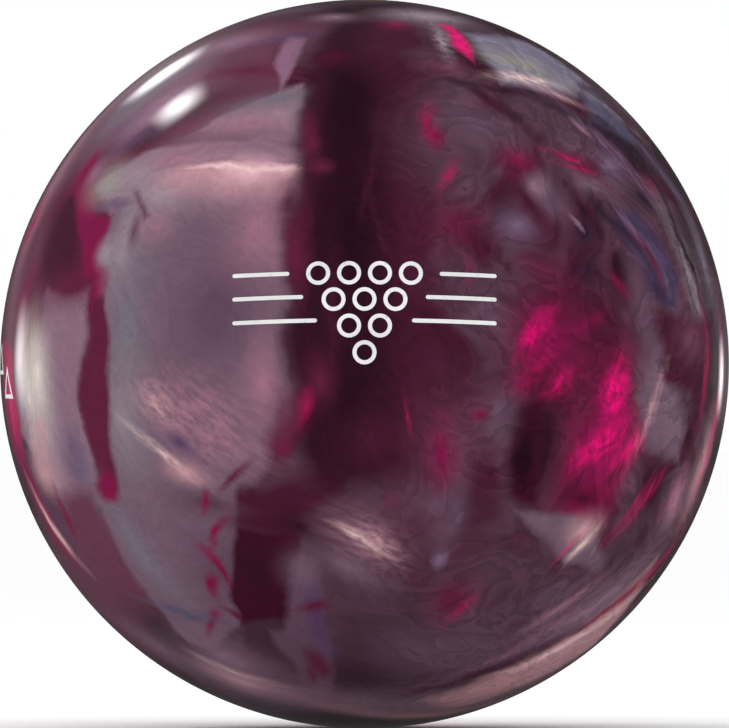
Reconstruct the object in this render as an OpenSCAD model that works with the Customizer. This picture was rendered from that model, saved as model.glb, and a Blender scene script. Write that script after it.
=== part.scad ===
// Undrilled ten-pin bowling ball. A cast resin coverstock is bonded over a filler ball, which holds
// an asymmetric weight block. Lengths are in millimetres and angles in degrees.
// The origin is the centre of the ball. +Z runs up the weight block to the locator pin at the top,
// and the front mark faces -Y. A place on the surface is a longitude, from the front towards +X,
// and a latitude above the equator.

/* [Ball] */
// Diameter of the finished ball
ball_d = 217; // [216:0.5:218]
// Thickness of the resin coverstock
cover_wall = 22; // [18:1:26]

/* [Weight block] */
// Height of the weight block along the pin axis
block_h = 112; // [108:1:120]
// Radius of the lower bulb
lower_bulb_r = 47; // [46:1:50]
// Radius of the upper bulb
upper_bulb_r = 40; // [40:1:44]
// Radius of the waist between the bulbs
waist_r = 22; // [18:1:22]
// Thickness of each flip block, from its seat to its crown
flip_block_t = 19; // [15:1:22]
// Radius of the dense disk inside the lower bulb
disk_r = 26; // [20:1:28]

/* [Pins and markers] */
// Diameter of the locator pin above the weight block
locator_pin_d = 12.7; // [9.5:0.1:12.7]
// Diameter of the marker pin on the mass bias side
bias_pin_d = 6.4; // [3:0.1:8]
// Depth of the marker pin
bias_pin_depth = 12; // [6:1:16]
// Diameter of the centre of gravity mark
cg_mark_d = 3.4; // [2:0.1:5]
// Angle from the locator pin to the centre of gravity mark
cg_from_pin = 37; // [25:1:50]

/* [Engraved marks] */
// Width of the engraved lines
line_w = 1.2; // [0.8:0.1:1.6]
// Depth of the engraving
engrave_depth = 0.8; // [0.5:0.1:1.2]
// How far the paint lies below the surface
paint_recess = 0.1; // [0.05:0.05:0.2]
// Latitude of the front mark
front_mark_lat = 8; // [0:1:20]
// Width of the front mark
front_mark_w = 77; // [70:1:84]
// Longitude of the side mark
side_mark_lon = -96; // [-110:1:-80]
// Latitude of the side mark
side_mark_lat = 2; // [-10:1:10]

/* [Hidden] */

$fn = 128;
ball_r = ball_d / 2;
outer_core_r = ball_r - cover_wall;

block_top = block_h / 2;
block_bottom = -block_h / 2;
lower_bulb_h = 52;
lower_bulb_round = 18;
upper_bulb_h = 34;
upper_bulb_round = 14;
boss_r = 16;
boss_h = 12;
boss_round = 4;
neck_fillet = 4;
lower_bulb_top = block_bottom + lower_bulb_h;
upper_bulb_top = block_top - boss_h;
upper_bulb_bottom = upper_bulb_top - upper_bulb_h;

// The flip blocks sit in pockets in the flanks of the lower bulb, on the X axis.
flip_seat_x = 36;
flip_w = 44;
flip_h = 34;
flip_round = 10;
flip_crown_r = 60;
flip_z = (block_bottom + lower_bulb_top) / 2;

disk_h = 16;
disk_round = 4;
pin_socket_depth = 10;

// Ten rings in the triangle of a rack of pins, with three bars on each side.
rack_rows = 4;
rack_pitch = 9;
rack_ring_d = 7;
rack_row_h = rack_pitch * sin(60);
bar_rows = 3;
bar_gap = 7;

// Seven triangles in the V of a lane's aiming arrows.
arrow_count = 7;
arrow_r = 6.5;
arrow_pitch = 11.5;
arrow_step = 7;

through = 20;

resin_colour = [0.38, 0.22, 0.32];
filler_colour = [0.72, 0.66, 0.55];
block_colour = [0.16, 0.28, 0.50];
disk_colour = [0.25, 0.25, 0.27];
flip_block_colour = [0.80, 0.42, 0.12];
locator_pin_colour = [0.85, 0.80, 0.30];
bias_pin_colour = [0.90, 0.90, 0.88];
paint_colour = [0.95, 0.95, 0.95];

// Rounded rectangle whose corners are true arcs, from 0 to w and 0 to h
module round_rect(w, h, r) {
    translate([r, 0]) square([w - 2 * r, h]);
    translate([0, r]) square([w, h - 2 * r]);
    for (x = [r, w - r], y = [r, h - r])
        translate([x, y]) circle(r);
}

// Half outline of a revolved bulb: square at the axis and round at its outer corners
module bulb_profile(r, h, round) {
    square([r - round, h]);
    translate([0, round]) square([r, h - 2 * round]);
    for (y = [round, h - round])
        translate([r - round, y]) circle(round);
}

// Rounded inner corner where a neck of radius r meets a bulb's flat end at height z. side is 1 where
// the neck rises from the bulb, and -1 where it hangs below one.
module neck_corner(r, z, side) {
    translate([r, z]) difference() {
        translate([-1, side > 0 ? 0 : -neck_fillet]) square([neck_fillet + 1, neck_fillet]);
        translate([neck_fillet, side * neck_fillet]) circle(neck_fillet);
    }
}

// Moves a shape drawn round the origin out to the surface: its +Z faces outwards and its +Y north
module on_surface(lon, lat) {
    rotate([90 - lat, 0, lon]) children();
}

// Slot in the surface under a flat outline, as deep as the engraving
module engraving(lon, lat) {
    difference() {
        on_surface(lon, lat)
            translate([0, 0, ball_r - through]) linear_extrude(2 * through) children();
        sphere(ball_r - engrave_depth);
    }
}

// Paint that fills such a slot to just under the surface
module paint_fill(lon, lat) {
    intersection() {
        engraving(lon, lat) children();
        sphere(ball_r - paint_recess);
    }
}

module ring_outline(d) {
    difference() {
        circle(d = d);
        circle(d = d - 2 * line_w);
    }
}

module bar_outline(x_start, x_end, y) {
    translate([x_start, y - line_w / 2]) square([x_end - x_start, line_w]);
    for (x = [x_start, x_end])
        translate([x, y]) circle(d = line_w);
}

// Inner end of a bar, one pitch outside the rack and following its slope
function bar_start(row) = (rack_rows + 1) / 2 * rack_pitch - row * bar_gap / tan(60);

module front_mark_outline() {
    rack_h = (rack_rows - 1) * rack_row_h;
    for (row = [0 : rack_rows - 1], i = [0 : row])
        translate([(i - row / 2) * rack_pitch, row * rack_row_h - rack_h / 2])
            ring_outline(rack_ring_d);
    for (row = [0 : bar_rows - 1], side = [0, 1])
        mirror([side, 0])
            bar_outline(bar_start(row), front_mark_w / 2 - line_w / 2, rack_h / 2 - row * bar_gap);
}

module side_mark_outline() {
    middle = (arrow_count - 1) / 2;
    for (i = [0 : arrow_count - 1])
        translate([(i - middle) * arrow_pitch, (middle / 2 - abs(i - middle)) * arrow_step])
            rotate(90) difference() {
                circle(arrow_r, $fn = 3);
                circle(arrow_r - 2 * line_w, $fn = 3);
            }
}

// Locator pin, from its socket in the weight block out to the surface
module locator_pin_shape() {
    translate([0, 0, block_top - pin_socket_depth])
        cylinder(h = ball_r, d = locator_pin_d);
}

// Short pin that marks the mass bias, on the equator at the back
module mass_bias_pin_shape() {
    on_surface(180, 0)
        translate([0, 0, ball_r - bias_pin_depth]) cylinder(h = through, d = bias_pin_d);
}

module flip_block_slab(side, t) {
    mirror([side > 0 ? 0 : 1, 0, 0])
        translate([flip_seat_x, -flip_w / 2, flip_z - flip_h / 2])
            rotate([90, 0, 90]) linear_extrude(t) round_rect(flip_w, flip_h, flip_round);
}

module flip_block_shape(side) {
    intersection() {
        flip_block_slab(side, flip_block_t);
        translate([side * (flip_seat_x + flip_block_t - flip_crown_r), 0, flip_z])
            sphere(flip_crown_r);
    }
}

module density_disk_shape() {
    translate([0, 0, flip_z - disk_h / 2])
        rotate_extrude() bulb_profile(disk_r, disk_h, disk_round);
}

// Outside of the weight block, before its pockets
module weight_block_body() {
    rotate_extrude() {
        translate([0, block_bottom]) bulb_profile(lower_bulb_r, lower_bulb_h, lower_bulb_round);
        translate([0, upper_bulb_bottom])
            bulb_profile(upper_bulb_r, upper_bulb_h, upper_bulb_round);
        translate([0, lower_bulb_top - lower_bulb_round])
            square([waist_r, upper_bulb_bottom - lower_bulb_top + 2 * lower_bulb_round]);
        translate([0, upper_bulb_top - boss_round])
            bulb_profile(boss_r, boss_h + boss_round, boss_round);
        neck_corner(waist_r, lower_bulb_top, 1);
        neck_corner(waist_r, upper_bulb_bottom, -1);
        neck_corner(boss_r, upper_bulb_top, 1);
    }
}

module coverstock() {
    color(resin_colour) difference() {
        sphere(ball_r);
        sphere(outer_core_r);
        locator_pin_shape();
        mass_bias_pin_shape();
        engraving(180, 90 - cg_from_pin) circle(d = cg_mark_d);
        engraving(0, front_mark_lat) front_mark_outline();
        engraving(side_mark_lon, side_mark_lat) side_mark_outline();
    }
}

module outer_core() {
    color(filler_colour) difference() {
        sphere(outer_core_r);
        weight_block_body();
        locator_pin_shape();
        for (side = [-1, 1])
            flip_block_shape(side);
    }
}

module weight_block() {
    color(block_colour) difference() {
        weight_block_body();
        density_disk_shape();
        locator_pin_shape();
        for (side = [-1, 1])
            flip_block_slab(side, through);
    }
}

module density_disk() {
    color(disk_colour) density_disk_shape();
}

module flip_block_left() {
    color(flip_block_colour) flip_block_shape(-1);
}

module flip_block_right() {
    color(flip_block_colour) flip_block_shape(1);
}

module locator_pin() {
    color(locator_pin_colour) intersection() {
        locator_pin_shape();
        sphere(ball_r);
    }
}

module mass_bias_pin() {
    color(bias_pin_colour) intersection() {
        mass_bias_pin_shape();
        sphere(ball_r);
    }
}

module cg_mark_paint() {
    color(paint_colour) paint_fill(180, 90 - cg_from_pin) circle(d = cg_mark_d);
}

module front_mark_paint() {
    color(paint_colour) paint_fill(0, front_mark_lat) front_mark_outline();
}

module side_mark_paint() {
    color(paint_colour) paint_fill(side_mark_lon, side_mark_lat) side_mark_outline();
}

coverstock();
outer_core();
weight_block();
density_disk();
flip_block_left();
flip_block_right();
locator_pin();
mass_bias_pin();
cg_mark_paint();
front_mark_paint();
side_mark_paint();
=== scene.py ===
# Looks of the bowling ball: a marbled pearl resin shell with engraved marks, its pins and paint,
# and the cast pieces sealed inside. Metres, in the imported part's frame: the origin is the ball's
# centre, +Z runs up to the locator pin and -Y faces the front mark.
import math

import bmesh
import bpy
import numpy as np
from mathutils import Matrix, Vector


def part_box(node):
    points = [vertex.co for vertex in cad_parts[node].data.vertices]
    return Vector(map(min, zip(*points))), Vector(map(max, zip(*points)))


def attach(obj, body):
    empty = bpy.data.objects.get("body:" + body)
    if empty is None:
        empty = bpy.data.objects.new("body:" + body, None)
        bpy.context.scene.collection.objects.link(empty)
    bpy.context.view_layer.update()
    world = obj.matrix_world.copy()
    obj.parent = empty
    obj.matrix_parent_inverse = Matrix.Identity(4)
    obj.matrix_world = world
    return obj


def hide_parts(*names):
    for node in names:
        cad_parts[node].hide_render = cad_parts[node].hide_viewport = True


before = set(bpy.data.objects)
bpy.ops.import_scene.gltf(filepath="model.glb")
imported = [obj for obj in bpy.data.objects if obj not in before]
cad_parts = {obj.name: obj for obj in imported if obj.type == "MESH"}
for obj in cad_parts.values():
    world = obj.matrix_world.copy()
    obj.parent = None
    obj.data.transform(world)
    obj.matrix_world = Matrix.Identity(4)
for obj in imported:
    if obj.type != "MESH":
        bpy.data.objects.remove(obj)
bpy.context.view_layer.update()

# ---------------------------------------------------------------- sizes
BALL_R = (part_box("coverstock")[1].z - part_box("coverstock")[0].z) / 2
CORE_R = (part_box("outer_core")[1].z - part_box("outer_core")[0].z) / 2
OUTER_CELLS = 88          # cells along each face of the cube that the outer sphere is made from
INNER_CELLS = 28
SET_IN_SHELL = ("locator_pin", "mass_bias_pin", "cg_mark_paint", "front_mark_paint",
                "side_mark_paint")
CUT_CLEAR = 0.001         # how far a cutter stands out of the ball
PAINT_MIDDLE = 0.0005     # depth that parts the bottom of an engraving from its mouth
WELD = 1e-6               # points closer than this are one
SKIN = 5e-5               # how far a point of a sphere may be from its radius
CURVED = 0.9              # least cosine between a sphere's face and the direction outwards
WALL = 0.5                # greatest cosine between the side wall of a seat and that direction

LENS = 800                # millimetres, like the sensor, and so long that the view is near parallel
SENSOR = 36
FLOOR_SIZE = 30
LIGHT_DISTANCE = 1.6
SKY_SPREAD = -0.3, 0.9    # how far backwards a reflection looks, where the sky's shade changes
SKY_SHADE = 0.02, 0.07    # how bright the polish sees the sky, in front of the ball and behind it


def srgb(red, green, blue):
    """A colour given as 0 to 255 on a screen, as the linear colour that a node takes."""
    def linear(level):
        share = level / 255
        return share / 12.92 if share <= 0.04045 else ((share + 0.055) / 1.055) ** 2.4
    return (linear(red), linear(green), linear(blue), 1.0)


def place(lon, lat):
    """Direction of a place on the ball: longitude from the front towards +X, and latitude."""
    east, north = math.radians(lon), math.radians(lat)
    return Vector((math.sin(east) * math.cos(north), -math.cos(east) * math.cos(north),
                   math.sin(north)))


# ---------------------------------------------------------------- node trees
class Tree:
    """The node tree of a material, a light or the world, with one short call for each node."""

    def __init__(self, node_tree):
        self.nodes, self.links = node_tree.nodes, node_tree.links

    def feed(self, node, inputs):
        for key, value in inputs.items():
            if isinstance(value, bpy.types.NodeSocket):
                self.links.new(value, node.inputs[key])
            else:
                node.inputs[key].default_value = value

    def finish(self, name, inputs):
        """Feeds the tree's own shader node, which is called name."""
        self.feed(self.nodes[name], inputs)

    def add(self, kind, inputs=None, **settings):
        node = self.nodes.new("ShaderNode" + kind)
        for key, value in settings.items():
            setattr(node, key, value)
        self.feed(node, inputs or {})
        return node

    def math(self, operation, a, b=0.0, c=0.0):
        return self.add("Math", {0: a, 1: b, 2: c}, operation=operation).outputs[0]

    def vector(self, operation, a, b=(0, 0, 0), c=(0, 0, 0)):
        return self.add("VectorMath", {0: a, 1: b, 2: c}, operation=operation).outputs["Vector"]

    def dot(self, a, b):
        return self.add("VectorMath", {0: a, 1: b}, operation="DOT_PRODUCT").outputs["Value"]

    def scale(self, vector, factor):
        inputs = {0: vector, "Scale": factor}
        return self.add("VectorMath", inputs, operation="SCALE").outputs["Vector"]

    def ramp(self, value, low, high, to_low=0.0, to_high=1.0):
        inputs = {"Value": value, "From Min": low, "From Max": high, "To Min": to_low,
                  "To Max": to_high}
        return self.add("MapRange", inputs, interpolation_type="SMOOTHSTEP").outputs["Result"]

    def mix(self, factor, a, b):
        return self.add("Mix", {0: factor, 6: a, 7: b}, data_type="RGBA").outputs[2]

    def noise(self, vector, scale, detail=2.0, roughness=0.5, kind="Fac"):
        inputs = {"Vector": vector, "Scale": scale, "Detail": detail, "Roughness": roughness}
        return self.add("TexNoise", inputs).outputs[kind]

    def warp(self, position, scale, amount, detail=2.0, roughness=0.5):
        """position moved about by a smooth random field, by up to about half of amount."""
        field = self.noise(position, scale, detail, roughness, kind="Color")
        centred = self.vector("SUBTRACT", field, (0.5, 0.5, 0.5))
        return self.vector("ADD", position, self.vector("MULTIPLY", centred, (amount,) * 3))

    def position(self):
        """Place in the ball, in ball radii from its centre."""
        return self.vector("MULTIPLY", self.add("TexCoord").outputs["Object"], (1 / BALL_R,) * 3)


def new_material(name):
    material = bpy.data.materials.new(name)
    material.use_nodes = True
    return material, Tree(material.node_tree)


# ---------------------------------------------------------------- camera, floor and light
def make_camera():
    data = bpy.data.cameras.new("camera")
    data.lens = LENS
    data.sensor_width = SENSOR
    camera = bpy.data.objects.new("camera", data)
    half_angle = math.atan(SENSOR / 2 / LENS)
    camera.location = (0, -BALL_R / math.sin(half_angle), 0)
    camera.rotation_euler = (math.radians(90), 0, 0)
    bpy.context.scene.collection.objects.link(camera)
    bpy.context.scene.camera = camera


def softbox(name, clock, out, length, width, radiance):
    """Area light whose reflection shows on the ball at a clock angle, in degrees anticlockwise from
    the right, and at a share of the ball's radius from its middle. The reflection's length runs
    round the ball and its width runs outwards, both as shares of the radius."""
    tilt = math.asin(out)
    away = 2 * tilt
    turn = math.radians(clock)
    to_camera = Vector((0, -1, 0))
    outwards = Vector((math.cos(turn), 0, math.sin(turn)))
    direction = to_camera * math.cos(away) + outwards * math.sin(away)
    along = Vector((-math.sin(turn), 0, math.cos(turn)))
    across = direction.cross(along)
    data = bpy.data.lights.new(name, "AREA")
    data.shape = "RECTANGLE"
    data.size = LIGHT_DISTANCE * length / out * math.sin(away)
    data.size_y = LIGHT_DISTANCE * 2 * width / math.cos(tilt)
    data.energy = radiance * math.pi * data.size * data.size_y
    data.use_nodes = True

    # The light fades from its middle to each of its edges.
    tree = Tree(data.node_tree)
    spot = tree.add("SeparateXYZ", {0: tree.add("NewGeometry").outputs["Parametric"]})
    fades = [tree.ramp(tree.math("PINGPONG", spot.outputs[axis], 0.5), low=0.0, high=0.5)
             for axis in "XY"]
    tree.finish("Emission", {"Strength": tree.math("MULTIPLY", *fades)})

    light = bpy.data.objects.new(name, data)
    light.matrix_world = (Matrix.Translation(direction * LIGHT_DISTANCE)
                          @ Matrix((along, across, direction)).transposed().to_4x4())
    light.visible_camera = False
    bpy.context.scene.collection.objects.link(light)


def make_light():
    bpy.context.scene.view_settings.view_transform = "Standard"
    softbox("key_streak", clock=124.6, out=0.955, length=0.30, width=0.040, radiance=13)
    softbox("key_soft", clock=125.6, out=0.852, length=0.20, width=0.075, radiance=26)
    softbox("left_strip", clock=179, out=0.930, length=0.36, width=0.050, radiance=8)
    softbox("right_strip", clock=-2, out=0.970, length=0.26, width=0.022, radiance=6)

    # The sky lights everything evenly in white, but the polish reflects a dark one. The two differ,
    # so Cycles doesn't sample the sky as a light.
    world = bpy.data.worlds.new("studio")
    world.use_nodes = True
    world.cycles.sampling_method = "NONE"
    bpy.context.scene.world = world
    tree = Tree(world.node_tree)
    way = tree.add("SeparateXYZ", {0: tree.add("TexCoord").outputs["Generated"]})
    reflected = tree.ramp(way.outputs["Y"], *SKY_SPREAD, *SKY_SHADE)
    is_reflection = tree.add("LightPath").outputs["Is Glossy Ray"]
    strength = tree.add("Mix", {"Factor": is_reflection, "A": 1.0, "B": reflected})
    tree.finish("Background", {"Color": (1, 1, 1, 1), "Strength": strength.outputs["Result"]})


def make_floor():
    half = FLOOR_SIZE / 2
    corners = [(-half, -half, -BALL_R), (half, -half, -BALL_R), (half, half, -BALL_R),
               (-half, half, -BALL_R)]
    mesh = bpy.data.meshes.new("floor")
    mesh.from_pydata(corners, [], [(0, 1, 2, 3)])
    floor = bpy.data.objects.new("floor", mesh)
    bpy.context.scene.collection.objects.link(floor)
    floor.visible_glossy = False
    material, tree = new_material("pale_floor")
    tree.finish("Principled BSDF", {"Base Color": (0.98, 0.98, 0.98, 1), "Roughness": 1.0,
                                    "Specular IOR Level": 0.0})
    mesh.materials.append(material)


# ---------------------------------------------------------------- the resin's pigments, and its painted sheen
PIGMENT = {
    "ink": srgb(40, 9, 25),
    "wine": srgb(54, 16, 34),
    "plum": srgb(72, 22, 46),
    "maroon": srgb(78, 10, 42),
    "claret": srgb(96, 28, 58),
    "oxblood": srgb(64, 12, 36),
    "garnet": srgb(124, 14, 68),
    "cerise": srgb(168, 14, 82),
    "hot_pink": srgb(226, 2, 112),
    "rosewood": srgb(104, 56, 78),
    "rose": srgb(154, 108, 126),
    "heather": srgb(136, 104, 122),
    "orchid": srgb(138, 96, 122),
    # The pale ones, petal, blush, cream and bone, are partly the pearl's own pale tone and mostly
    # painted sheen and highlights, where the pearl catches the light.
    "petal": srgb(220, 170, 184),
    "frost": srgb(128, 121, 142),
    "blush": srgb(192, 144, 152),
    "cream": srgb(236, 202, 198),
    "bone": srgb(216, 206, 196),
    "silver": srgb(152, 134, 146),
    "stone": srgb(152, 142, 138),
    "ash": srgb(134, 122, 130),
    "pewter": srgb(116, 106, 120),
    "mauve": srgb(114, 88, 106),
    "dusk": srgb(98, 70, 90),
    "smoke": srgb(84, 54, 70),
    "umber": srgb(70, 44, 56),
    "lilac": srgb(112, 88, 114),
    "violet": srgb(86, 62, 96),
    "steel": srgb(88, 80, 106),
    "indigo": srgb(60, 44, 72),
    "night": srgb(50, 30, 50),
}

# Strokes of pigment, and of painted sheen, highlight and shade, on the front of the ball, region by
# region,
# each over the ones before: kind, pigment, longitude, latitude, width and height in degrees of arc,
# tilt anticlockwise, and how soft its edge is, in degrees. A cloud is soft and round, a flake has a
# ragged edge, and a brush is made of fine lines along its width. A patch is a ragged convex polygon
# instead: kind, pigment, edge softness, corners.
LEFT_EDGE = [
    ("cloud", "claret", -62, 22, 44, 90, 0, 8),
    ("cloud", "rose", -78, 32, 10, 56, 0, 4),
    ("cloud", "rosewood", -70, -38, 44, 34, 40, 8),
    ("patch", "plum", 1.5, (-68, 36), (-60, 36), (-54, 14), (-58, 8), (-67, 14)),
    ("cloud", "rosewood", -70, 18, 8, 18, 0, 3),
    ("cloud", "cerise", -79, 23, 4, 10, -10, 2),
    ("cloud", "garnet", -64, 34, 5, 16, -18, 2),
    ("patch", "heather", 0.8, (-66, 4), (-62, 12), (-50, 12), (-50, -22), (-60, -24), (-72, -10)),
    ("cloud", "claret", -54, 12, 18, 7, 0, 2.5),
    ("cloud", "rosewood", -63, 8, 7, 8, 0, 2.5),
    ("cloud", "silver", -63, -9, 12, 20, 0, 4),
    # Painted highlight: the bone and blush strokes here are a pale flash down the silver strip, where
    # the pearl catches the light.
    ("cloud", "bone", -63, -2, 8, 14, 0, 4),
    ("cloud", "lilac", -54, -15, 7, 12, 0, 2),
    ("brush", "bone", -66, -4, 18, 5, 90, 2.5),
    ("brush", "blush", -64, -12, 12, 7, 70, 2),
    ("cloud", "blush", -65, -17, 9, 6, 0, 3),
    ("patch", "cerise", 1, (-82, 4), (-74.5, 2), (-71.5, -8), (-74, -16), (-80, -14)),
    ("flake", "cerise", -74, -22, 3, 16, 18, 1),
    ("flake", "garnet", -76, -16, 5, 26, 14, 1.5),
    ("brush", "hot_pink", -76, -6, 14, 3, 88, 1),
    ("flake", "garnet", -70, 8, 3, 12, 0, 1),
    ("brush", "cream", -71, -26, 14, 2, -62, 1),
    ("brush", "violet", -67, -25, 12, 3, -60, 1),
    ("flake", "garnet", -63, -24, 2, 6, 10, 0.7),
    ("patch", "rosewood", 1.5, (-62, -21), (-52, -20), (-46, -42), (-56, -44)),
    ("cloud", "umber", -50, -50, 16, 22, 30, 4),
    ("cloud", "mauve", -62, -50, 16, 8, -36, 4),
]
UPPER_LEFT = [
    ("cloud", "rosewood", -36, 66, 40, 14, 8, 5),
    ("cloud", "mauve", -64, 46, 14, 30, -20, 4),
    ("brush", "steel", -60, 49, 18, 3, 50, 2),
    ("cloud", "lilac", -56, 41, 12, 6, 40, 3),
    ("cloud", "orchid", -51, 45, 9, 22, -24, 3),
    ("cloud", "orchid", -48, 61, 18, 8, 20, 3),
    ("patch", "rosewood", 0.8, (-44, 38), (-43.5, 52), (-22, 52), (-21.5, 49), (-34, 40)),
    ("patch", "rosewood", 0.8, (-43.5, 51), (-46, 57), (-28, 60), (-21.6, 50)),
    ("cloud", "claret", -33, 53, 22, 5, 8, 3),
    ("cloud", "plum", -40, 44, 18, 6, 32, 3),
    ("flake", "plum", -43, 39.5, 14, 4, 26, 1.2),
    ("flake", "claret", -38, 41, 8, 2.4, 24, 1),
    ("patch", "orchid", 0.6, (-28, 62.7), (-19.3, 62), (-17.6, 55.4), (-20.9, 48.3), (-24.2, 55)),
    ("cloud", "mauve", -30, 76, 40, 8, 0, 4),
    ("brush", "violet", -53, 37.5, 14, 3, 24, 1.5),
    ("brush", "violet", -24, 63, 14, 3, 20, 1.5),
]
VEIN = [
    ("patch", "garnet", 0.8, (-66, 31), (-64, 37), (-60, 33), (-48, 25), (-48, 19), (-55, 20)),
    ("patch", "garnet", 0.8, (-56, 23), (-46, 24), (-46, 13), (-51.5, 14)),
    ("patch", "garnet", 0.6, (-50, 15), (-40, 14), (-42, 3), (-48, 3)),
    ("patch", "garnet", 0.8, (-47, 6), (-42, 6), (-42, -22), (-49, -20), (-48, -8)),
    ("flake", "cerise", -43, -8, 1.8, 26, 0, 0.8),
]
PANEL = [
    ("patch", "heather", 0.6, (-61, 32), (-45, 35.5), (-33, 39.5), (-11.5, 40), (-11.5, 24), (-49, 24)),
    ("patch", "heather", 0.6, (-34, 39.4), (-25, 46.5), (-15, 49.5), (-11.5, 38)),
    ("patch", "mauve", 0.6, (-48.5, 26), (-11.5, 26), (-12.5, 13), (-44.5, 13), (-48, 17)),
    ("patch", "mauve", 0.6, (-44, 15), (-12.5, 15), (-12.5, -10), (-18, -19), (-50, -20)),
    ("patch", "mauve", 0.6, (-51, -19), (-20, -17), (-22, -27), (-28, -44), (-38, -51), (-46, -48),
     (-50, -36)),
    ("cloud", "silver", -19, 41, 16, 6, 10, 3),
    ("cloud", "pewter", -20, 46, 18, 4, 16, 2),
    ("cloud", "rose", -24, 40, 22, 6, 8, 4),
    ("cloud", "heather", -17, 37.5, 12, 6, 0, 2.5),
    ("cloud", "stone", -53, 30, 10, 8, 0, 3),
    ("cloud", "orchid", -59, 32, 4, 5, 0, 1.5),
    ("cloud", "silver", -45, 31.5, 14, 6, 10, 3),
    ("cloud", "silver", -38, 27, 12, 9, 0, 4),
    ("cloud", "silver", -43, 18, 7, 18, 0, 3),
    ("cloud", "silver", -47, 17, 4, 5, 0, 1.5),
    ("cloud", "rose", -37, 22, 8, 6, 0, 3),
    # Painted sheen and shade at the crease near the top of the panel, down to the cream flake: rose,
    # blush, petal and cream, brightest at the crease and fading down the panel where the pearl catches
    # the light, and a thin violet line of painted shade just above the crease.
    ("cloud", "rose", -38, 33.5, 14, 4, 10, 2),
    ("flake", "violet", -24, 32.6, 18, 0.9, 0, 0.5),
    ("cloud", "blush", -21, 29, 20, 8, 0, 4),
    ("cloud", "blush", -33, 31, 12, 5, 12, 3),
    ("cloud", "rose", -18, 20, 13, 18, 0, 5),
    ("cloud", "petal", -21, 31.5, 10, 4, 0, 2),
    ("cloud", "rosewood", -13, 26, 4, 9, 0, 2),
    ("patch", "blush", 0.5, (-34, 32), (-12, 32.1), (-12, 30.3), (-28, 29.8)),
    ("cloud", "petal", -21.5, 30.6, 9, 3, 0, 1.5),
    ("patch", "petal", 0.4, (-31, 32), (-13, 32.2), (-13, 31.1), (-25, 30.9)),
    ("flake", "cream", -22, 31.8, 13, 0.6, 0, 0.4),
    ("cloud", "mauve", -29, 20, 12, 12, 0, 5),
    ("patch", "rosewood", 0.6, (-45, 27.5), (-44, 27.6), (-38.5, 23.5), (-39.5, 22.5)),
    ("flake", "rosewood", -41, 20, 2, 5, 10, 0.8),
    ("flake", "lilac", -49, 25.5, 6, 1.4, 0, 0.7),
    ("cloud", "pewter", -40, 5, 9, 32, 0, 4),
    ("cloud", "dusk", -24, 8, 16, 20, 0, 6),
    ("cloud", "rose", -16, -3, 6, 14, 5, 3),
    ("cloud", "ash", -41, -8, 9, 20, 0, 4),
    ("patch", "claret", 0.7, (-48.6, 10), (-44.6, 10), (-43.6, -8), (-46.4, -20), (-51, -20)),
    # Painted sheen: rose, blush and cream streaks across the lower panel, where the pearl catches the
    # light.
    ("brush", "rose", -25, -9, 22, 13, -30, 4),
    ("brush", "blush", -34, -6, 9, 5, -40, 2.5),
    ("cloud", "violet", -30, -12, 7, 2.4, -35, 1.5),
    ("brush", "cream", -33, -14.5, 15, 1.5, -38, 0.7),
    ("cloud", "blush", -30, -17, 9, 4, -20, 2),
    ("cloud", "mauve", -36, -21, 12, 6, -20, 3),
    ("cloud", "smoke", -27, -22.5, 12, 5, -10, 2.5),
    ("cloud", "pewter", -45, -30, 6, 26, 24, 3),
    ("cloud", "dusk", -29, -34, 12, 18, 0, 5),
    ("flake", "garnet", -48.5, -19.5, 4, 5, 10, 0.7),
    ("flake", "garnet", -27.5, -22, 1.3, 4.5, -20, 0.5),
    ("flake", "garnet", -26.5, -28, 1.3, 7, -35, 0.5),
    ("flake", "garnet", -28.5, -34, 1.3, 7, 35, 0.5),
    ("flake", "garnet", -31, -37, 2.2, 3.5, 0, 0.6),
    ("flake", "garnet", -35, -44, 1.6, 5, -30, 0.6),
    ("flake", "claret", -29, -43, 1.4, 5, 40, 0.5),
    ("flake", "claret", -21, -18, 5, 1.1, 40, 0.5),
    ("flake", "steel", -42, -42, 12, 1.3, -22, 0.7),
]
DARK_BAND = [
    ("patch", "wine", 2, (-11.5, 76), (8, 76), (9, 30), (7, -17), (-9, -20), (-12.5, 0)),
    ("flake", "plum", -10, 40, 3, 30, -3, 1.5),
    ("cloud", "plum", 9, 30, 12, 80, 0, 4),
    ("cloud", "plum", 8, -8, 12, 30, 0, 4),
    ("cloud", "ink", -3, 46, 13, 40, 0, 5),
    ("cloud", "ink", -2, 20, 12, 30, 0, 5),
    ("cloud", "ink", -2, -6, 11, 18, 0, 5),
    ("flake", "claret", -11, 37, 2, 7, 0, 1),
    ("flake", "claret", -9, 31.5, 3, 2.4, 0, 1.2),
    ("flake", "claret", -11, 17, 3, 12, 0, 1.2),
    ("cloud", "maroon", -8, 57, 8, 5, 0, 3),
    ("brush", "plum", 1.5, 32, 20, 1.2, 80, 0.6),
    ("brush", "plum", 3.5, 20, 20, 1.2, 105, 0.6),
    ("brush", "plum", -5, 8, 20, 3, 90, 1.5),
    ("cloud", "wine", 0, 76, 26, 16, 0, 5),
    ("cloud", "plum", 1, -12, 10, 12, 0, 4),
    ("patch", "maroon", 1, (-11, -5), (-8, -3.6), (-8.3, -9), (-12.1, -14), (-14.2, -14.5),
     (-12.4, -8.5)),
    ("flake", "cerise", -10, -7.5, 2, 4, -25, 1.2),
    ("flake", "garnet", -13, -12.5, 2, 3.5, -20, 0.8),
    ("flake", "claret", -13, -11, 3, 8, -25, 1.2),
    ("cloud", "claret", -7.5, -2.5, 5, 8, 0, 2.5),
    ("cloud", "rosewood", -13, -7.5, 4, 8, 0, 2),
    ("cloud", "plum", -13, -21, 14, 10, 20, 3),
    ("brush", "cerise", 6.5, -7, 6, 0.8, 102, 0.5),
    ("cloud", "heather", -15, 71, 8, 4, 0, 2),
    ("flake", "garnet", 4, -24, 2, 6, 0, 0.8),
]
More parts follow.
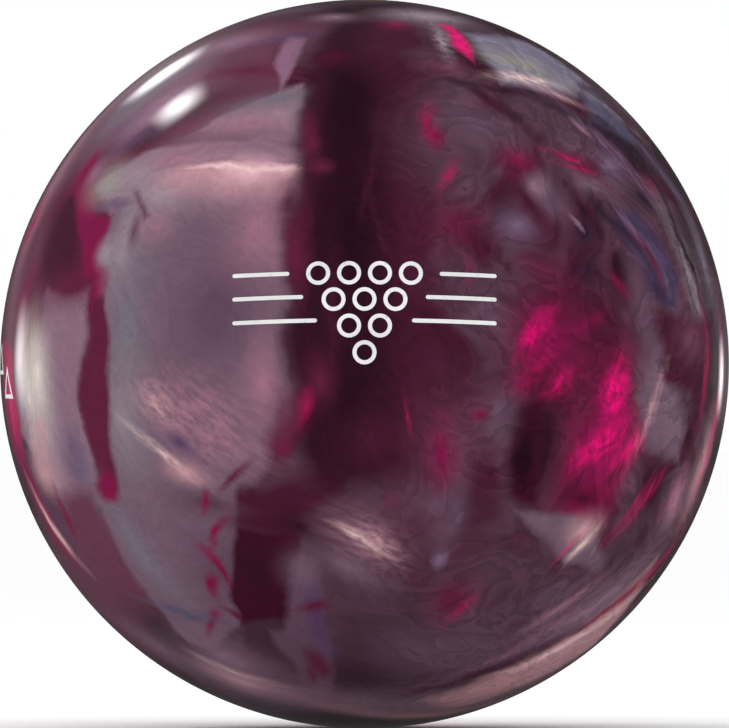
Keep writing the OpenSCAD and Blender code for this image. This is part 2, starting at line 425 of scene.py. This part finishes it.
LOWER_MIDDLE = [
    ("cloud", "umber", 1, -50, 26, 34, 0, 5),
    ("cloud", "wine", -2, -62, 12, 26, 0, 4),
    ("cloud", "smoke", 3, -25, 16, 10, 0, 4),
    ("patch", "smoke", 1, (-11, -24), (-5, -22), (4, -25), (8, -36), (6, -43), (-10, -41)),
    ("flake", "plum", -16, -24, 12, 5, 15, 1.4),
    ("cloud", "wine", -11, -25.5, 10, 5, 0, 2.5),
    ("patch", "umber", 0.7, (-28, -44), (-19, -42), (-15, -52), (-20, -62), (-30, -58)),
    ("patch", "oxblood", 0.6, (-22, -26.5), (-10.5, -26.5), (-12.5, -35), (-16, -43), (-28, -44.5),
     (-28, -40)),
    ("cloud", "wine", -21, -34, 8, 12, 0, 3),
    ("patch", "dusk", 0.7, (-12, -28.7), (-8.5, -31.5), (-8, -39), (-9, -47), (-19, -47),
     (-18, -41), (-13.5, -34)),
    ("patch", "dusk", 0.7, (-21, -46), (-8, -45), (-9, -57), (-13, -70), (-17, -70)),
    ("flake", "violet", -10, -44, 3, 14, 6, 1),
    ("cloud", "mauve", -12, -34, 6, 8, 0, 3),
    ("cloud", "smoke", -7, -42, 4, 16, 0, 2),
    ("flake", "claret", -11, -41, 4, 2, 20, 0.7),
    ("flake", "claret", -12, -54, 3, 7, 10, 0.8),
    ("flake", "claret", -16, -57, 2, 5, -10, 0.8),
    # Painted sheen: a sweep of rose, cream and blush lines where the pearl catches the light.
    ("brush", "rose", 0.5, -28.5, 15, 8, -36, 3),
    ("brush", "cream", -0.5, -28.3, 9.5, 1.4, -36, 0.7),
    ("brush", "blush", 2.5, -29, 9, 3, -36, 1.2),
    ("cloud", "mauve", -2, -33.5, 12, 5, -30, 2),
    # Painted light: heather, petal and cream paler towards the ball's lower edge, standing in for the
    # light its rim catches, with a cream line of painted sheen.
    ("cloud", "heather", -36, -53, 16, 10, -34, 4),
    ("cloud", "heather", -36, -65, 40, 9, -26, 4),
    ("cloud", "petal", -39, -60, 16, 6, -32, 3),
    ("brush", "cream", -38, -57, 14, 2.5, -34, 1.5),
]
UPPER_RIGHT = [
    ("cloud", "plum", 10, 60, 14, 26, 0, 4),
    ("cloud", "smoke", 15, 36, 14, 20, 0, 5),
    ("cloud", "dusk", 23, 40, 9, 12, 0, 4),
    ("cloud", "claret", 16, 22, 10, 10, 0, 4),
    ("cloud", "lilac", 26, 22, 8, 7, 0, 3),
    ("flake", "rosewood", 22, 54, 8, 4, 0, 1.5),
    ("flake", "wine", 30, 43.7, 14, 2.6, -52, 0.8),
    ("cloud", "smoke", 18, 57, 8, 5, -10, 2),
    ("cloud", "wine", 32, 56, 8, 16, 20, 3),
    ("cloud", "plum", 28.7, 44.5, 8, 6, 0, 3),
    ("cloud", "garnet", 12, 68, 5, 4, 0, 2),
    ("brush", "cerise", 14, 41, 7, 3, 80, 1.2),
    ("flake", "garnet", 14.5, 38, 3, 4, 0, 1.3),
    ("brush", "cerise", 15, 31, 6, 2, 62, 1),
    ("cloud", "silver", 33, 72, 16, 8, -20, 3),
    ("patch", "frost", 1.2, (40, 64), (69.9, 61), (72, 49.2), (51.7, 46.9), (36, 49.7)),
    # Painted sheen: a grey-silver patch where the pearl catches the light.
    ("cloud", "stone", 47, 55, 13, 7, -30, 3),
    ("brush", "silver", 27, 62, 14, 3, 75, 1),
    ("patch", "hot_pink", 0.8, (33, 67), (37, 66.4), (35, 58.5), (31, 55), (28.4, 58.5)),
    ("patch", "steel", 1, (59.3, 47.8), (71, 46.9), (69.3, 38.3), (61.5, 37.1), (56.4, 42)),
    ("brush", "night", 57, 44, 20, 2, -44, 0.8),
    # Painted sheen: cream and blush lines where the pearl catches the light.
    ("brush", "cream", 44.5, 50.5, 14, 3, -12, 1),
    ("brush", "blush", 50, 47, 12, 1.6, -24, 0.8),
    ("flake", "wine", 38, 47.5, 16, 1.8, -20, 0.8),
    ("flake", "night", 47, 44, 12, 2.2, -40, 0.8),
    ("cloud", "smoke", 41, 42, 16, 10, 0, 4),
    ("brush", "silver", 66, 45, 18, 2, -44, 1),
    ("flake", "night", 53, 42, 12, 1.6, -25, 0.8),
    ("flake", "night", 62, 37, 14, 5, -62, 1.4),
    ("brush", "lilac", 57, 34, 22, 4, -62, 1.2),
    ("cloud", "garnet", 29, 33, 7, 6, 0, 3),
    ("brush", "garnet", 43, 34, 10, 2.5, -10, 1.2),
    ("cloud", "mauve", 44, 29, 9, 4, -10, 2.5),
    ("flake", "rose", 51, 40, 1.2, 3, 30, 0.6),
    ("cloud", "lilac", 53, 32, 7, 6, -30, 2.5),
    ("cloud", "rosewood", 28.5, 26.7, 6, 6, 0, 2.5),
    ("flake", "dusk", 35, 27, 7, 8, -30, 1.8),
    ("cloud", "heather", 31.5, 28.7, 5, 4, 20, 1.5),
    ("brush", "cerise", 41, 34, 9, 1.2, -20, 0.5),
    ("brush", "cerise", 43, 32, 8, 1.0, -14, 0.5),
    ("flake", "plum", 30, 26, 3, 10, 25, 1.2),
    ("flake", "wine", 40, 26, 3, 10, 35, 1.4),
    ("cloud", "night", 39.5, 21.6, 6, 6, 0, 2),
    ("patch", "indigo", 1, (47, 23.5), (55, 25), (60.5, 13), (58, 8.5), (51, 11)),
    ("brush", "lilac", 52, 20, 18, 2.4, -62, 0.8),
    ("brush", "steel", 56, 15, 16, 2, -70, 0.8),
    ("flake", "night", 46, 24, 10, 2, -52, 0.8),
    ("cloud", "night", 58, 27, 6, 5, -30, 2),
    ("flake", "heather", 38, 23, 0.8, 2.2, 20, 0.5),
    ("cloud", "night", 39, 15, 8, 8, 0, 3),
    ("flake", "wine", 46, 14, 5, 7, 10, 1.2),
    ("brush", "cerise", 45, 12, 5, 1.5, -50, 0.7),
    ("brush", "steel", 71, 33, 26, 5, -66, 1.2),
    ("patch", "umber", 1, (62, 24), (74, 26), (76, -4), (66, -2)),
    ("brush", "ash", 66, 14, 26, 6, -78, 2),
    ("flake", "ink", 67, 18, 1.0, 22, 12, 0.5),
    ("flake", "ink", 72, 12, 1.0, 26, 6, 0.5),
    ("flake", "dusk", 51, 5, 5, 20, 10, 1.4),
    ("flake", "claret", 53, 17, 1.6, 8, 26, 0.8),
    ("brush", "violet", 57, 17, 18, 3, -66, 1),
    ("cloud", "pewter", 74, 16, 6, 18, 0, 3),
]
LOWER_RIGHT = [
    ("cloud", "plum", 35, 2, 28, 30, 0, 6),
    ("cloud", "garnet", 30, 4, 14, 15, 0, 5),
    ("brush", "hot_pink", 27.5, 5, 9, 3.2, 50, 1.4),
    ("brush", "hot_pink", 31.5, -3.5, 9, 3.5, 36, 1.6),
    ("brush", "cerise", 27.5, -0.5, 10, 3.5, 38, 1.6),
    ("brush", "garnet", 37, 6.5, 8, 2.5, 30, 1.2),
    ("cloud", "garnet", 41, -11, 18, 26, -10, 5),
    ("cloud", "garnet", 40, -20, 14, 14, 0, 4),
    ("brush", "hot_pink", 43, -4, 12, 6, 72, 1.6),
    ("brush", "hot_pink", 41, -12.5, 13, 5.5, 38, 1.6),
    ("brush", "hot_pink", 47, -14, 13, 4.5, 48, 1.4),
    ("cloud", "claret", 36, -6, 5, 10, 0, 3),
    ("brush", "plum", 45, -17, 10, 3, 44, 1),
    ("brush", "plum", 38, -18, 12, 2, 50, 1),
    ("cloud", "garnet", 25, -2.5, 6, 5, 0, 2),
    ("cloud", "rosewood", 14, -15, 12, 24, 0, 5),
    ("cloud", "wine", 29.5, -12, 9, 20, 4, 3),
    ("patch", "oxblood", 1, (24, -6), (29, -6), (30, -22), (23.5, -20)),
    ("cloud", "ink", 26.3, -14.5, 6, 13, 0, 2),
    ("cloud", "dusk", 21, -7, 7, 11, 0, 3),
    ("cloud", "plum", 21, -17, 6, 8, 0, 2.5),
    ("cloud", "dusk", 11.5, -22, 9, 7, 0, 3),
    ("flake", "plum", 18, -20, 5, 12, 0, 2),
    ("cloud", "garnet", 12, -14, 4, 12, 0, 3),
    ("cloud", "garnet", 18, -7, 3, 2.4, 0, 1.5),
    ("cloud", "mauve", 53, -6, 9, 16, 15, 3),
    ("patch", "mauve", 1.2, (50.3, -2.2), (53.6, -1.3), (62.2, -10.1), (62.3, -15.1), (51.9, -12),
     (47.5, -5.7)),
    ("patch", "plum", 1, (53, 8), (73, 7.2), (69.7, -2.5), (65.9, -6.5), (54, -2.5)),
    ("cloud", "rosewood", 63, 4, 12, 8, 0, 3),
    ("brush", "cerise", 68, 0, 20, 2, 86, 0.8),
    ("brush", "blush", 52, -6, 13, 1.8, 66, 0.8),
    ("cloud", "wine", 56, -20, 9, 12, 0, 3),
    ("brush", "cerise", 50.5, -25, 16, 1.2, 58, 0.7),
    ("brush", "cerise", 64, -21, 10, 1.6, 66, 0.8),
    ("cloud", "smoke", 25, -33, 26, 12, 0, 4),
    ("patch", "mauve", 0.8, (26.6, -22.8), (42.4, -24.6), (52.7, -33.6), (37.6, -31)),
    ("cloud", "blush", 41.5, -26.5, 7, 6, 0, 2.5),
    ("cloud", "maroon", 39, -21, 8, 4, -10, 2),
    ("brush", "cream", 42.5, -29, 7, 1.6, 62, 0.6),
    ("brush", "hot_pink", 39.5, -29.5, 6, 1.0, 62, 0.5),
    ("cloud", "umber", 56, -34, 12, 14, 20, 4),
    ("cloud", "dusk", 15, -24, 5, 12, -8, 2),
    ("flake", "lilac", 13.5, -31.5, 2, 2, 0, 0.7),
    ("cloud", "claret", 18, -40, 9, 12, -12, 3),
    ("brush", "cerise", 20.5, -42, 8, 2.2, 62, 1),
    # Painted light, down to the cream brush: the ball painted paler towards its lower edge, in dusk,
    # heather and blush, with sweeps of painted sheen in rose, orchid, blush, petal and cream along the
    # rim.
    ("cloud", "dusk", 22, -52, 34, 18, 0, 6),
    ("cloud", "heather", 18, -70, 60, 14, 0, 5),
    ("cloud", "blush", 26, -74, 34, 5, 0, 2),
    ("cloud", "heather", 57, -41, 26, 9, 46, 4),
    ("brush", "rose", 46, -41, 18, 2.6, 48, 1),
    ("brush", "orchid", 40, -51, 24, 2.4, 46, 1),
    ("patch", "blush", 1.6, (70, -34), (62, -42), (45, -55), (24, -67), (46, -69), (78, -50)),
    ("cloud", "petal", 56, -51, 18, 3, 40, 1.5),
    ("flake", "smoke", 62, -43, 22, 1.6, 44, 0.8),
    ("brush", "cream", 58, -50, 30, 2, 42, 1),
    ("flake", "plum", 36, -58, 18, 2.4, 36, 1.2),
    ("cloud", "rose", 66, -22, 8, 10, 0, 3),
    ("cloud", "blush", 74, -17, 6, 16, 0, 3),
    ("brush", "cerise", 70, -37, 24, 3.0, 50, 1),
    ("brush", "cerise", 54.6, -22, 14, 2.4, 58, 0.8),
    ("brush", "hot_pink", 76, -8, 30, 2.4, 84, 1),
]

# The base that the strokes lie on, which is all that shows on the sides and the back. Each layer is
# a pigment and the two levels of its noise between which it fades in.
BASE = "wine"
TONES = [("plum", 0.34, 0.45), ("smoke", 0.42, 0.52), ("dusk", 0.55, 0.66)]
TINTS = [("garnet", 0.58, 0.72)]
SHEETS = [("garnet", 0.500, 0.510), ("mauve", 0.518, 0.526), ("silver", 0.530, 0.640)]
CLUSTER = 0.60, 0.70      # levels of the noise between which a hot pink cluster begins
CLUSTER_TILT = 60         # tilt of the lines in a cluster
BACK = -0.2, 0.2          # depths, in radii, between which the back's sheets and clusters begin
SHEET_HIDE = 0.4          # how far the sheets' noise is lowered on the front, which hides them

# How far each kind of stroke follows the ragged warp, and not the smooth one
STROKE_RAGGED = {"cloud": 0.15, "flake": 1.0, "patch": 0.8, "brush": 0.3}
STROKE_DEPTH = 0.7        # half the size of a stroke towards the ball's centre, in radii
SOFTEST = 0.9             # widest soft edge, as a share of a stroke's lesser half size
STREAK_STEP = 30          # degrees between the tilts that a brush's lines can have
STREAK_FINE = 60          # a brush's lines, per ball radius, across them and along them
STREAK_LONG = 5
STREAK_FAINT = 0.25       # how strong a brush is between its lines

FOLD_COUNT = 11           # folds over the whole range of the noise that shapes them
FOLD_DEPTH = 0.10, 0.36   # contrast of the folds on the left of the ball, and on its right
FOLD_SPREAD = -0.2, 0.4   # places across the ball, in radii, between which it changes
SATIN = 0.10              # contrast of the fine lines in the pearl
# The satin lines are fine lines of mica in the pearl, brightened as painted sheen.
SATIN_DARK = 0.93         # brightness between those lines
SATIN_TILT = 150          # tilt of those lines
MICA_SIZE = 110           # grains of mica in a ball radius
MICA = 0.02               # contrast of the mica


def stroke_axes(lon, lat, tilt):
    """Directions of a stroke's width and height, and outwards from the ball."""
    outwards = place(lon, lat)
    east = Vector((0, 0, 1)).cross(outwards).normalized()
    north = outwards.cross(east)
    turn = math.radians(tilt)
    return (east * math.cos(turn) + north * math.sin(turn),
            north * math.cos(turn) - east * math.sin(turn), outwards)


def patch_cover(tree, position, corners, soft):
    """How much a convex polygon with great-circle sides covers each place. Its corners run either
    way round it."""
    places = [place(lon, lat) for lon, lat in corners]
    middle = sum(places, Vector())
    inside = None
    for start, end in zip(places, places[1:] + places[:1]):
        side = start.cross(end).normalized()
        if side.dot(middle) < 0:
            side = -side
        depth = tree.dot(position, side)
        inside = depth if inside is None else tree.math("MINIMUM", inside, depth)
    return tree.math("MULTIPLY_ADD", inside, 0.5 / math.radians(soft), 0.5)


def round_cover(tree, position, axes, half_sizes, edge, kind):
    """How much any other stroke, an ellipsoid, covers each place. A gradient texture does this in
    the fewest steps, which keeps a long chain of strokes quick. The cover is a half at a flake's own
    edge, and a quarter at the edge of the other kinds, which fade away more slowly."""
    node = tree.add("TexGradient", {"Vector": position},
                    gradient_type="SPHERICAL" if kind == "flake" else "QUADRATIC_SPHERE")
    mapping = node.texture_mapping
    mapping.vector_type = "TEXTURE"
    mapping.translation = axes[2]
    mapping.rotation = Matrix(axes).transposed().to_euler()
    mapping.scale = (half_sizes[0] * (1 + edge), half_sizes[1] * (1 + edge), STROKE_DEPTH)
    steep = (1 + edge) / (2 * edge)
    return tree.math("MULTIPLY", node.outputs["Fac"], steep if kind == "flake" else steep ** 2)


def paint_strokes(tree, colour, strokes, positions, streaks):
    """Lays strokes over a colour, in order, and gives the colour that results."""
    for kind, pigment, *shape in strokes:
        if kind == "patch":
            soft, *corners = shape
            cover = patch_cover(tree, positions[kind], corners, soft)
        else:
            lon, lat, wide, high, tilt, soft = shape
            axes = stroke_axes(lon, lat, tilt)
            half_sizes = math.radians(wide) / 2, math.radians(high) / 2
            edge = min(SOFTEST, math.radians(soft) / min(half_sizes))
            cover = round_cover(tree, positions[kind], axes, half_sizes, edge, kind)
        if kind == "brush":
            seen_tilt = math.degrees(math.atan2(axes[0].z, axes[0].x)) % 180
            lines = streaks[round(seen_tilt / STREAK_STEP) * STREAK_STEP % 180]
            cover = tree.math("MULTIPLY", tree.math("MINIMUM", cover, 1.0), lines)
        colour = tree.mix(cover, colour, PIGMENT[pigment])
    return colour


def streak_lines(tree, position, tilt):
    """Fine lines that run across the front of the ball at a tilt, as strengths up to 1. They are
    noise drawn out along them, by squeezing the position that it is read at."""
    turn = math.radians(tilt)
    way = Vector((math.cos(turn), 0, math.sin(turn)))
    squeeze = tree.scale(way * (STREAK_LONG / STREAK_FINE - 1), tree.dot(position, way))
    lines = tree.noise(tree.vector("ADD", position, squeeze), STREAK_FINE, roughness=0.6)
    return tree.ramp(lines, low=0.30, high=0.66, to_low=STREAK_FAINT)


def lay(tree, colour, level, layers):
    """Lays each layer's pigment over a colour where a noise's level has passed its two levels."""
    for pigment, low, high in layers:
        colour = tree.mix(tree.ramp(level, low, high), colour, PIGMENT[pigment])
    return colour


def resin_material():
    """The marbled pearl: base, strokes, some of them painted sheen, highlight and shade, and then
    folds, satin lines with painted sheen, and mica over all of them.
    """
    material, tree = new_material("pearl_resin")
    position = tree.position()
    smooth = tree.warp(position, scale=2.6, amount=0.08)
    rough = tree.warp(position, scale=5.0, amount=0.10, detail=1)
    ragged = tree.warp(rough, scale=16, amount=0.034, detail=4, roughness=0.65)
    ruffle = tree.vector("SUBTRACT", ragged, smooth)
    positions = {kind: tree.vector("MULTIPLY_ADD", ruffle, (share,) * 3, smooth)
                 for kind, share in STROKE_RAGGED.items()}
    streaks = {tilt: streak_lines(tree, smooth, tilt) for tilt in range(0, 180, STREAK_STEP)}

    curl = tree.warp(position, scale=2.2, amount=0.7, detail=1)
    tone = tree.noise(curl, scale=3.2, detail=4, roughness=0.55)
    colour = lay(tree, PIGMENT[BASE], tone, TONES)
    colour = lay(tree, colour, tree.noise(curl, scale=2.1), TINTS)
    behind = tree.ramp(tree.dot(position, (0, 1, 0)), *BACK)
    hidden = tree.math("MULTIPLY_ADD", behind, SHEET_HIDE, -SHEET_HIDE)
    sheet = tree.math("ADD", tree.noise(curl, scale=1.5, detail=5, roughness=0.6), hidden)
    colour = lay(tree, colour, sheet, SHEETS)
    cluster = tree.ramp(tree.noise(smooth, scale=2.7, detail=1), *CLUSTER)
    cluster = tree.math("MULTIPLY", tree.math("MULTIPLY", cluster, behind), streaks[CLUSTER_TILT])
    colour = tree.mix(cluster, colour, PIGMENT["hot_pink"])

    for strokes in (LEFT_EDGE, UPPER_LEFT, VEIN, PANEL, DARK_BAND, LOWER_MIDDLE, UPPER_RIGHT,
                    LOWER_RIGHT):
        colour = paint_strokes(tree, colour, strokes, positions, streaks)

    # Each fold goes from dark to light and ends at a crisp edge.
    fold = tree.math("SUBTRACT", tree.math("FRACT", tree.math("MULTIPLY", tone, FOLD_COUNT)), 0.5)
    depth = tree.ramp(tree.dot(position, (1, 0, 0)), *FOLD_SPREAD, *FOLD_DEPTH)
    folds = tree.math("MULTIPLY_ADD", fold, depth, 1.0)
    # Satin: fine mica lines painted brighter, as painted sheen.
    satin = tree.math("MULTIPLY_ADD", streaks[SATIN_TILT], SATIN, SATIN_DARK)
    mica = tree.ramp(tree.noise(position, MICA_SIZE, detail=1), low=0.25, high=0.75,
                     to_low=1 - MICA, to_high=1 + MICA)
    light = tree.math("MULTIPLY", tree.math("MULTIPLY", folds, satin), mica)
    colour = tree.scale(colour, light)

    tree.finish("Principled BSDF", {
        "Base Color": colour, "Roughness": 0.4, "Specular IOR Level": 0.05, "Coat Weight": 0.5,
        "Coat Roughness": 0.03})
    return material


# Colours of each other piece: its two close tones, its flecks, the flecks' size as their number in a
# ball radius, its roughness and how much clear coat lies over it
FLIP_BLOCK = srgb(222, 134, 58), srgb(198, 108, 40), srgb(242, 188, 126), 70, 0.45, 0.3
PAINT = srgb(246, 246, 246), srgb(232, 232, 234), srgb(218, 218, 220), 90, 0.5, 0.2
CAST = {
    "outer_core": (srgb(208, 198, 176), srgb(184, 172, 148), srgb(128, 112, 92), 55, 0.75, 0.0),
    "weight_block": (srgb(74, 98, 152), srgb(54, 78, 132), srgb(150, 168, 206), 70, 0.45, 0.3),
    "density_disk": (srgb(84, 84, 90), srgb(58, 58, 64), srgb(132, 132, 140), 90, 0.5, 0.0),
    "flip_block_left": FLIP_BLOCK,
    "flip_block_right": FLIP_BLOCK,
    "locator_pin": (srgb(232, 222, 92), srgb(212, 200, 70), srgb(244, 238, 160), 60, 0.3, 1.0),
    "mass_bias_pin": (srgb(240, 240, 236), srgb(222, 222, 216), srgb(200, 200, 194), 80, 0.3, 1.0),
    "cg_mark_paint": PAINT,
    "front_mark_paint": PAINT,
    "side_mark_paint": PAINT,
}


def cast_material(name, light, dark, fleck, grain, roughness, coat):
    """Cast, moulded or painted piece: soft clouds of two tones under fine flecks."""
    material, tree = new_material(name)
    position = tree.position()
    clouds = tree.ramp(tree.noise(position, scale=5.0, detail=4), low=0.35, high=0.65)
    flecks = tree.ramp(tree.noise(position, grain), low=0.60, high=0.70)
    colour = tree.mix(flecks, tree.mix(clouds, dark, light), fleck)
    tree.finish("Principled BSDF", {"Base Color": colour, "Roughness": roughness,
                                    "Coat Weight": coat, "Coat Roughness": 0.1})
    return material


# ---------------------------------------------------------------- the resin shell
def cube_sphere(radius, cells):
    """Vertices and quads of a sphere made from a cube with evenly turned grid lines."""
    steps = np.tan(np.linspace(-math.pi / 4, math.pi / 4, cells + 1))
    u, v = np.meshgrid(steps, steps, indexing="ij")
    ones = np.ones_like(u)
    sides = [(ones, u, v), (-ones, v, u), (v, ones, u), (u, -ones, v), (u, v, ones), (v, u, -ones)]
    points = np.concatenate([np.stack(side, -1).reshape(-1, 3) for side in sides])
    points *= radius / np.linalg.norm(points, axis=1)[:, None]
    row = np.arange(cells)
    corner = (row[:, None] * (cells + 1) + row[None, :]).ravel()
    quad = np.stack([corner, corner + cells + 1, corner + cells + 2, corner + 1], 1)
    quads = np.concatenate([quad + side * (cells + 1) ** 2 for side in range(len(sides))])
    _, first, same = np.unique(np.round(points / radius, 6), axis=0, return_index=True,
                               return_inverse=True)
    return points[first], same.reshape(-1)[quads]


def wall_way(mesh, points):
    """Direction in which the piece was pushed into the shell: along all of its side walls."""
    walls = []
    for face in mesh.polygons:
        normal = np.array(face.normal)
        middle = points[list(face.vertices)].mean(axis=0)
        if abs(normal @ middle) < WALL * np.linalg.norm(middle):
            walls.append(normal * math.sqrt(face.area))
    way = np.linalg.svd(np.array(walls))[2][-1]
    return way * np.sign(way @ points.mean(axis=0))


def make_cutter(node):
    """Closed copy of a piece set in the shell's surface, with its outer end moved clear of it."""
    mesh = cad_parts[node].data.copy()
    edit = bmesh.new()
    edit.from_mesh(mesh)
    bmesh.ops.remove_doubles(edit, verts=edit.verts, dist=WELD)
    edit.to_mesh(mesh)
    edit.free()
    points = np.array([vertex.co[:] for vertex in mesh.vertices])
    outer_end = np.linalg.norm(points, axis=1) > BALL_R - PAINT_MIDDLE
    points[outer_end] += wall_way(mesh, points) * CUT_CLEAR
    mesh.vertices.foreach_set("co", points.ravel())
    mesh.update()
    piece = bpy.data.objects.new("cutter_" + node, mesh)
    bpy.context.scene.collection.objects.link(piece)
    return piece


def cut_shell(shell, nodes):
    """Cuts the seats of the nodes into the shell, and leaves a mesh with no modifier."""
    cutters = [make_cutter(node) for node in nodes]
    for piece in cutters:
        cut = shell.modifiers.new(piece.name, "BOOLEAN")
        cut.operation = "DIFFERENCE"
        cut.solver = "EXACT"
        cut.object = piece
    bpy.context.view_layer.update()
    evaluated = shell.evaluated_get(bpy.context.evaluated_depsgraph_get())
    whole = bpy.data.meshes.new_from_object(evaluated)
    shell.modifiers.clear()
    shell.data = whole
    for piece in cutters:
        bpy.data.objects.remove(piece)


def set_normals(mesh):
    """Exact normals on the outside and inside of the shell, and flat ones on the cut walls."""
    normals = np.zeros((len(mesh.loops), 3))
    for face in mesh.polygons:
        for loop, vertex in zip(face.loop_indices, face.vertices):
            point = mesh.vertices[vertex].co
            radial = point.normalized()
            facing = face.normal.dot(radial)
            on_sphere = min(abs(point.length - BALL_R), abs(point.length - CORE_R)) < SKIN
            if on_sphere and abs(facing) > CURVED:
                normals[loop] = radial * math.copysign(1, facing)
            else:
                normals[loop] = face.normal
    mesh.normals_split_custom_set(normals.tolist())


def make_shell():
    outer_points, outer_quads = cube_sphere(BALL_R, OUTER_CELLS)
    inner_points, inner_quads = cube_sphere(CORE_R, INNER_CELLS)
    inner_quads = inner_quads[:, ::-1] + len(outer_points)
    mesh = bpy.data.meshes.new("resin_shell")
    mesh.from_pydata(np.concatenate([outer_points, inner_points]).tolist(), [],
                     np.concatenate([outer_quads, inner_quads]).tolist())
    shell = bpy.data.objects.new("resin_shell", mesh)
    bpy.context.scene.collection.objects.link(shell)
    cut_shell(shell, SET_IN_SHELL)
    shell.data.shade_smooth()
    set_normals(shell.data)
    shell.data.materials.clear()
    shell.data.materials.append(resin_material())
    return shell


# ---------------------------------------------------------------- the scene
make_camera()
make_light()
make_floor()

shell = make_shell()
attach(shell, "root")
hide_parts("coverstock")

for node, look in CAST.items():
    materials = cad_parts[node].data.materials
    materials.clear()
    materials.append(cast_material(node + "_look", *look))
